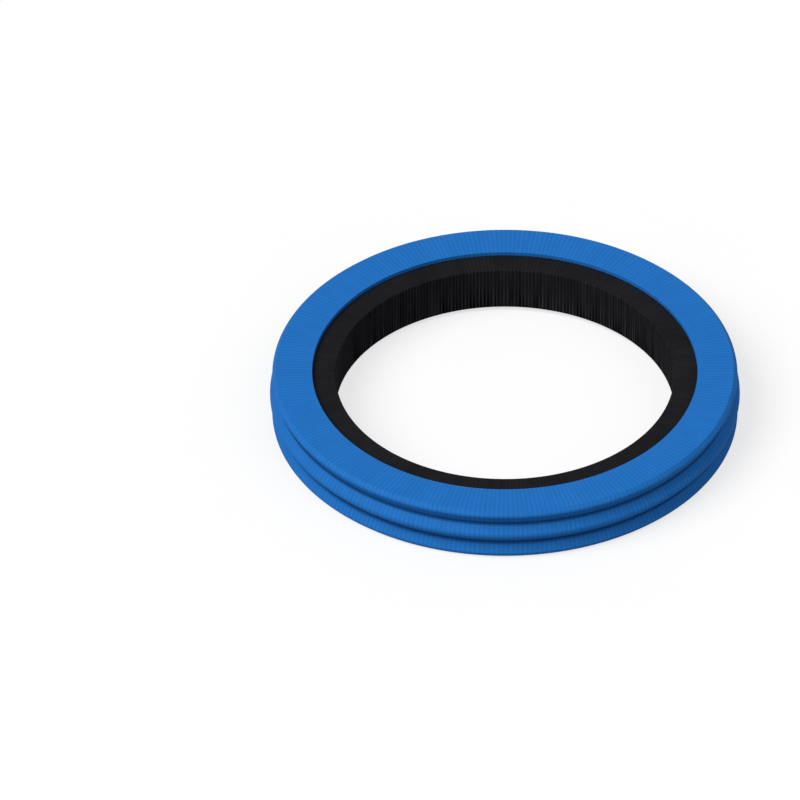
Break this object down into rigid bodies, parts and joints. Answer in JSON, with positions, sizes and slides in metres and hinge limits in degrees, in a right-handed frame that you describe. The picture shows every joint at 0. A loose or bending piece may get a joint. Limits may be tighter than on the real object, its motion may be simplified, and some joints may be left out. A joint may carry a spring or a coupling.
{
  "type": "piston seal",
  "caption": "Ring-shaped hydraulic piston seal: a ribbed polyurethane sealing ring outside, pressed out by a rubber ring of D section seated in its inner face.",
  "frame": {"origin": "centre of the seal's axis on the lower side face, which is the middle of the underside", "axes": "+Z along the seal's axis; X and Y are radial and alike, because the seal is a body of revolution"},
  "size_m": [0.05, 0.05, 0.006],
  "materials": {
    "polyurethane": "turned, satin",
    "nitrile_rubber": "moulded, matt"
  },
  "bodies": {
    "root": {"sealing_ring": "polyurethane", "energiser_ring": "nitrile_rubber"}
  },
  "joints": []
}
